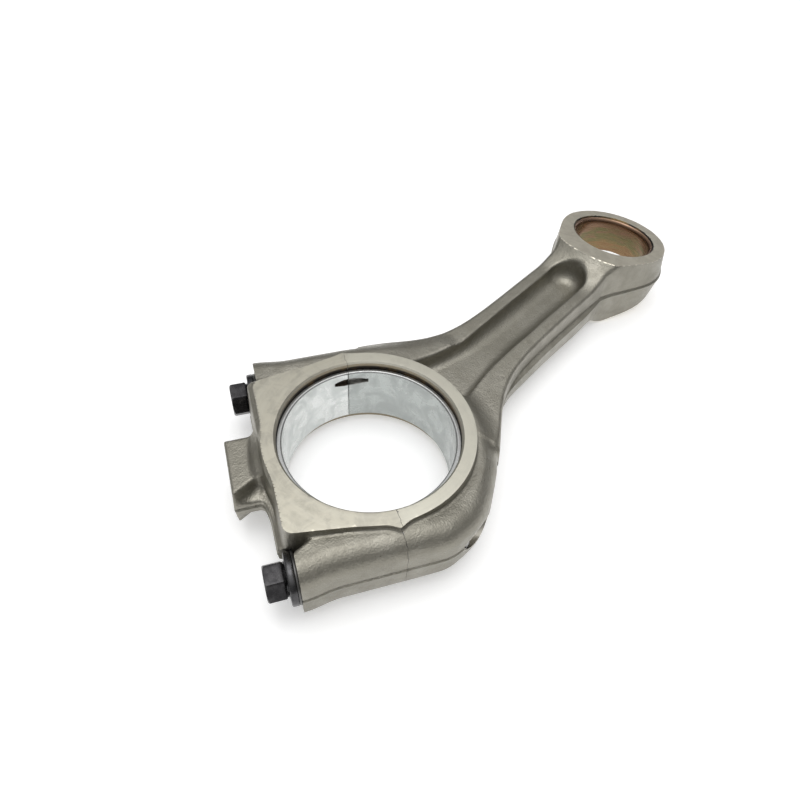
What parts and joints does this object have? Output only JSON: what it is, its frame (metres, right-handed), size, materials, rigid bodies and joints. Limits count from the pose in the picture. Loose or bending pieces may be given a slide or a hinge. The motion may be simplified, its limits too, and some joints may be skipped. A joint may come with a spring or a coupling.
{
  "type": "connecting rod",
  "caption": "Forged engine connecting rod with an oblique fracture-split big end, bolted cap, plain bearing shells and a bushed wedge small end.",
  "frame": {"origin": "centre of the big-end bore on the mid-plane of the forging", "axes": "+Z along the big-end bore, +X towards the small end, +Y to the side that the split's upper end leans to; the rod lies flat on its big-end side face"},
  "size_m": [0.2916, 0.1257, 0.0392],
  "materials": {
    "forged_steel": "shot-blasted forging with pale machined faces",
    "shell_steel": "satin steel strip",
    "shell_lining": "satin bearing metal",
    "bush_bronze": "bored bronze with heat tint",
    "bolt_steel": "black oxide",
    "washer_steel": "dark hardened steel"
  },
  "bodies": {
    "rod": {"rod_body": "forged_steel", "upper_shell_back": "shell_steel", "upper_shell_lining": "shell_lining", "small_end_bush": "bush_bronze"},
    "cap": {"rod_cap": "forged_steel", "lower_shell_back": "shell_steel", "lower_shell_lining": "shell_lining"},
    "shank_side_washer": {"shank_side_washer": "washer_steel"},
    "shank_side_bolt": {"shank_side_bolt": "bolt_steel"},
    "outer_side_washer": {"outer_side_washer": "washer_steel"},
    "outer_side_bolt": {"outer_side_bolt": "bolt_steel"}
  },
  "joints": [
    {"name": "cap_lift", "type": "slide", "parent": "rod", "child": "cap", "axis": [-0.8572, 0.515, 0], "range_m": [0, 0.06]},
    {"name": "shank_side_bolt_withdraw", "type": "slide", "parent": "cap", "child": "shank_side_washer", "axis": [-0.8572, 0.515, 0], "range_m": [0, 0.0225]},
    {"name": "shank_side_bolt_unscrew", "type": "hinge", "parent": "shank_side_washer", "child": "shank_side_bolt", "pos_m": [-0.01162, 0.05832, 0], "axis": [-0.8572, 0.515, 0], "range_deg": [0, 6481]},
    {"name": "outer_side_bolt_withdraw", "type": "slide", "parent": "cap", "child": "outer_side_washer", "axis": [-0.8572, 0.515, 0], "range_m": [0, 0.0225]},
    {"name": "outer_side_bolt_unscrew", "type": "hinge", "parent": "outer_side_washer", "child": "outer_side_bolt", "pos_m": [-0.05695, -0.01711, 0], "axis": [-0.8572, 0.515, 0], "range_deg": [0, 6481]}
  ],
  "couplings": [
    {"joint": "shank_side_bolt_unscrew", "follows": "shank_side_bolt_withdraw", "rad_per_m": 5026.5},
    {"joint": "outer_side_bolt_unscrew", "follows": "outer_side_bolt_withdraw", "rad_per_m": 5026.5}
  ]
}
